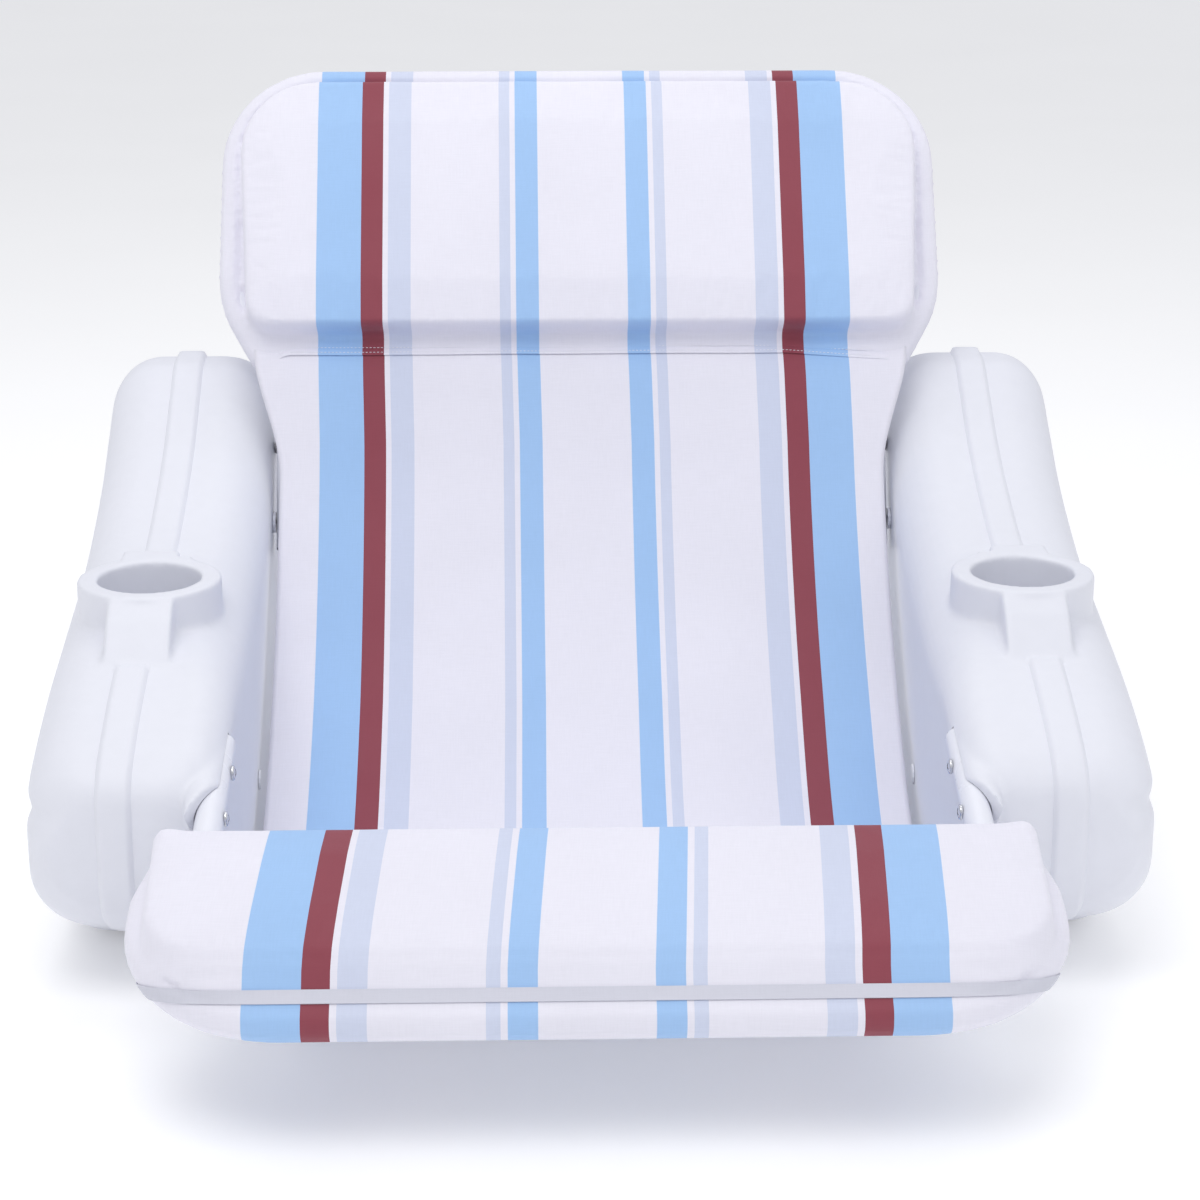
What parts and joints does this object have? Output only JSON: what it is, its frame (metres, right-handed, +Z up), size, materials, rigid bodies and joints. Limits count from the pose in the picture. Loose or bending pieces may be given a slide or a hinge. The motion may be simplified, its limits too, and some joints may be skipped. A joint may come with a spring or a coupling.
{
  "type": "pool float lounge chair",
  "caption": "Floating pool lounge chair: two hollow arm floats with cup holders, a fabric sling seat, a padded fold-forward headrest and a padded knee bolster on bent tube frames.",
  "frame": {"origin": "on the floor, under the middle of the chair's bounding box", "axes": "+X to the right of someone looking at the chair from its foot end, +Y from the knee bolster to the headrest, +Z up"},
  "size_m": [0.862, 0.9377, 0.6303],
  "materials": {
    "arm_plastic": "satin",
    "frame_paint": "satin",
    "trim_plastic": "satin",
    "steel": "polished",
    "cloth": "matte",
    "piping": "matte",
    "foam": "matte"
  },
  "bodies": {
    "seat": {"arm_float_left": "arm_plastic", "arm_float_right": "arm_plastic", "blow_hole_plug_left": "arm_plastic", "blow_hole_plug_right": "arm_plastic", "seat_frame_tube": "frame_paint", "seat_tube_plug_left": "trim_plastic", "seat_tube_plug_right": "trim_plastic", "seat_screw_front_left": "steel", "seat_screw_front_right": "steel", "seat_screw_rear_left": "steel", "seat_screw_rear_right": "steel", "hinge_bolt_left": "steel", "hinge_bolt_right": "steel", "hinge_washer_left": "trim_plastic", "hinge_washer_right": "trim_plastic", "recline_stop_left": "trim_plastic", "recline_stop_right": "trim_plastic", "bolster_cover": "cloth", "bolster_foam": "foam", "bolster_piping": "piping", "sling_seat_panel": "cloth"},
    "back": {"back_frame_tube": "frame_paint", "back_tube_plug_left": "trim_plastic", "back_tube_plug_right": "trim_plastic", "head_cover": "cloth", "head_foam": "foam", "head_piping": "piping", "sling_back_panel": "cloth"}
  },
  "joints": [
    {"name": "back_fold", "type": "hinge", "parent": "seat", "child": "back", "pos_m": [0, 0.2384, 0.25], "axis": [1, 0, 0], "range_deg": [0, 85]}
  ]
}
